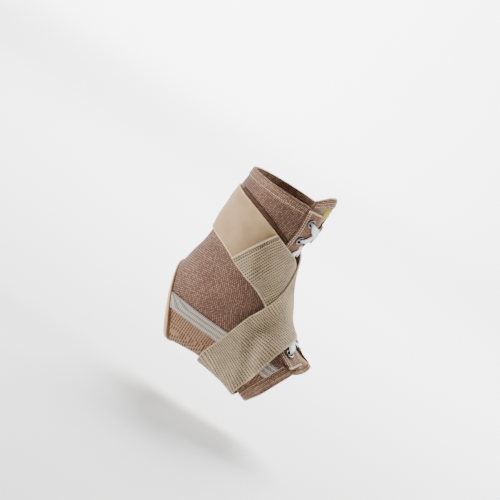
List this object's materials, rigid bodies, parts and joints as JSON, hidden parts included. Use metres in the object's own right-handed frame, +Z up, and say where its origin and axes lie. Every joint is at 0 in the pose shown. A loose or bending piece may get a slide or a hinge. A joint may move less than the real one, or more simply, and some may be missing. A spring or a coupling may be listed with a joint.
{
  "type": "ankle_brace",
  "caption": "Lace-up ankle brace in beige and brown knit, open at toes and heel, with two crossed elastic straps and an elastic band behind the ankle",
  "frame": {"origin": "middle of the ankle, inside the leg hollow", "axes": "+Z up the leg, +X towards the toes, +Y to the medial side of a right foot"},
  "size_m": [0.1647, 0.082, 0.2103],
  "materials": {
    "knit": "brown melange knit, matt",
    "rib": "ribbed knit, matt",
    "elastic": "beige woven elastic, matt",
    "velour": "smooth brushed velour, matt",
    "selvedge": "grey-white woven strip, matt",
    "binding": "padded binding, soft",
    "placket": "folded knit facing, matt",
    "tongue": "beige knit, matt",
    "hem": "folded knit hem, matt",
    "tape": "dark brown tape, matt",
    "label": "plain woven patch, satin",
    "lace": "flat white braided lace, matt",
    "nickel": "nickel plated, bright"
  },
  "bodies": {
    "root": {"upper_sleeve": "knit", "arch_band": "rib", "selvedge_lateral": "selvedge", "selvedge_medial": "selvedge", "heel_binding": "binding", "top_hem": "hem", "foot_hem": "hem", "placket_lateral": "placket", "placket_medial": "placket", "tongue": "tongue", "tongue_hem": "hem", "tongue_label": "label", "back_band": "velour", "band_edge_lateral": "tape", "band_edge_medial": "tape", "strap_from_lateral_sole": "elastic", "strap_from_medial_sole": "elastic", "lace_first": "lace", "lace_second": "lace", "eyelet_lateral_1": "nickel", "eyelet_lateral_2": "nickel", "eyelet_lateral_3": "nickel", "eyelet_lateral_4": "nickel", "eyelet_lateral_5": "nickel", "eyelet_lateral_6": "nickel", "eyelet_lateral_7": "nickel", "eyelet_lateral_8": "nickel", "eyelet_medial_1": "nickel", "eyelet_medial_2": "nickel", "eyelet_medial_3": "nickel", "eyelet_medial_4": "nickel", "eyelet_medial_5": "nickel", "eyelet_medial_6": "nickel", "eyelet_medial_7": "nickel", "eyelet_medial_8": "nickel"}
  },
  "joints": []
}
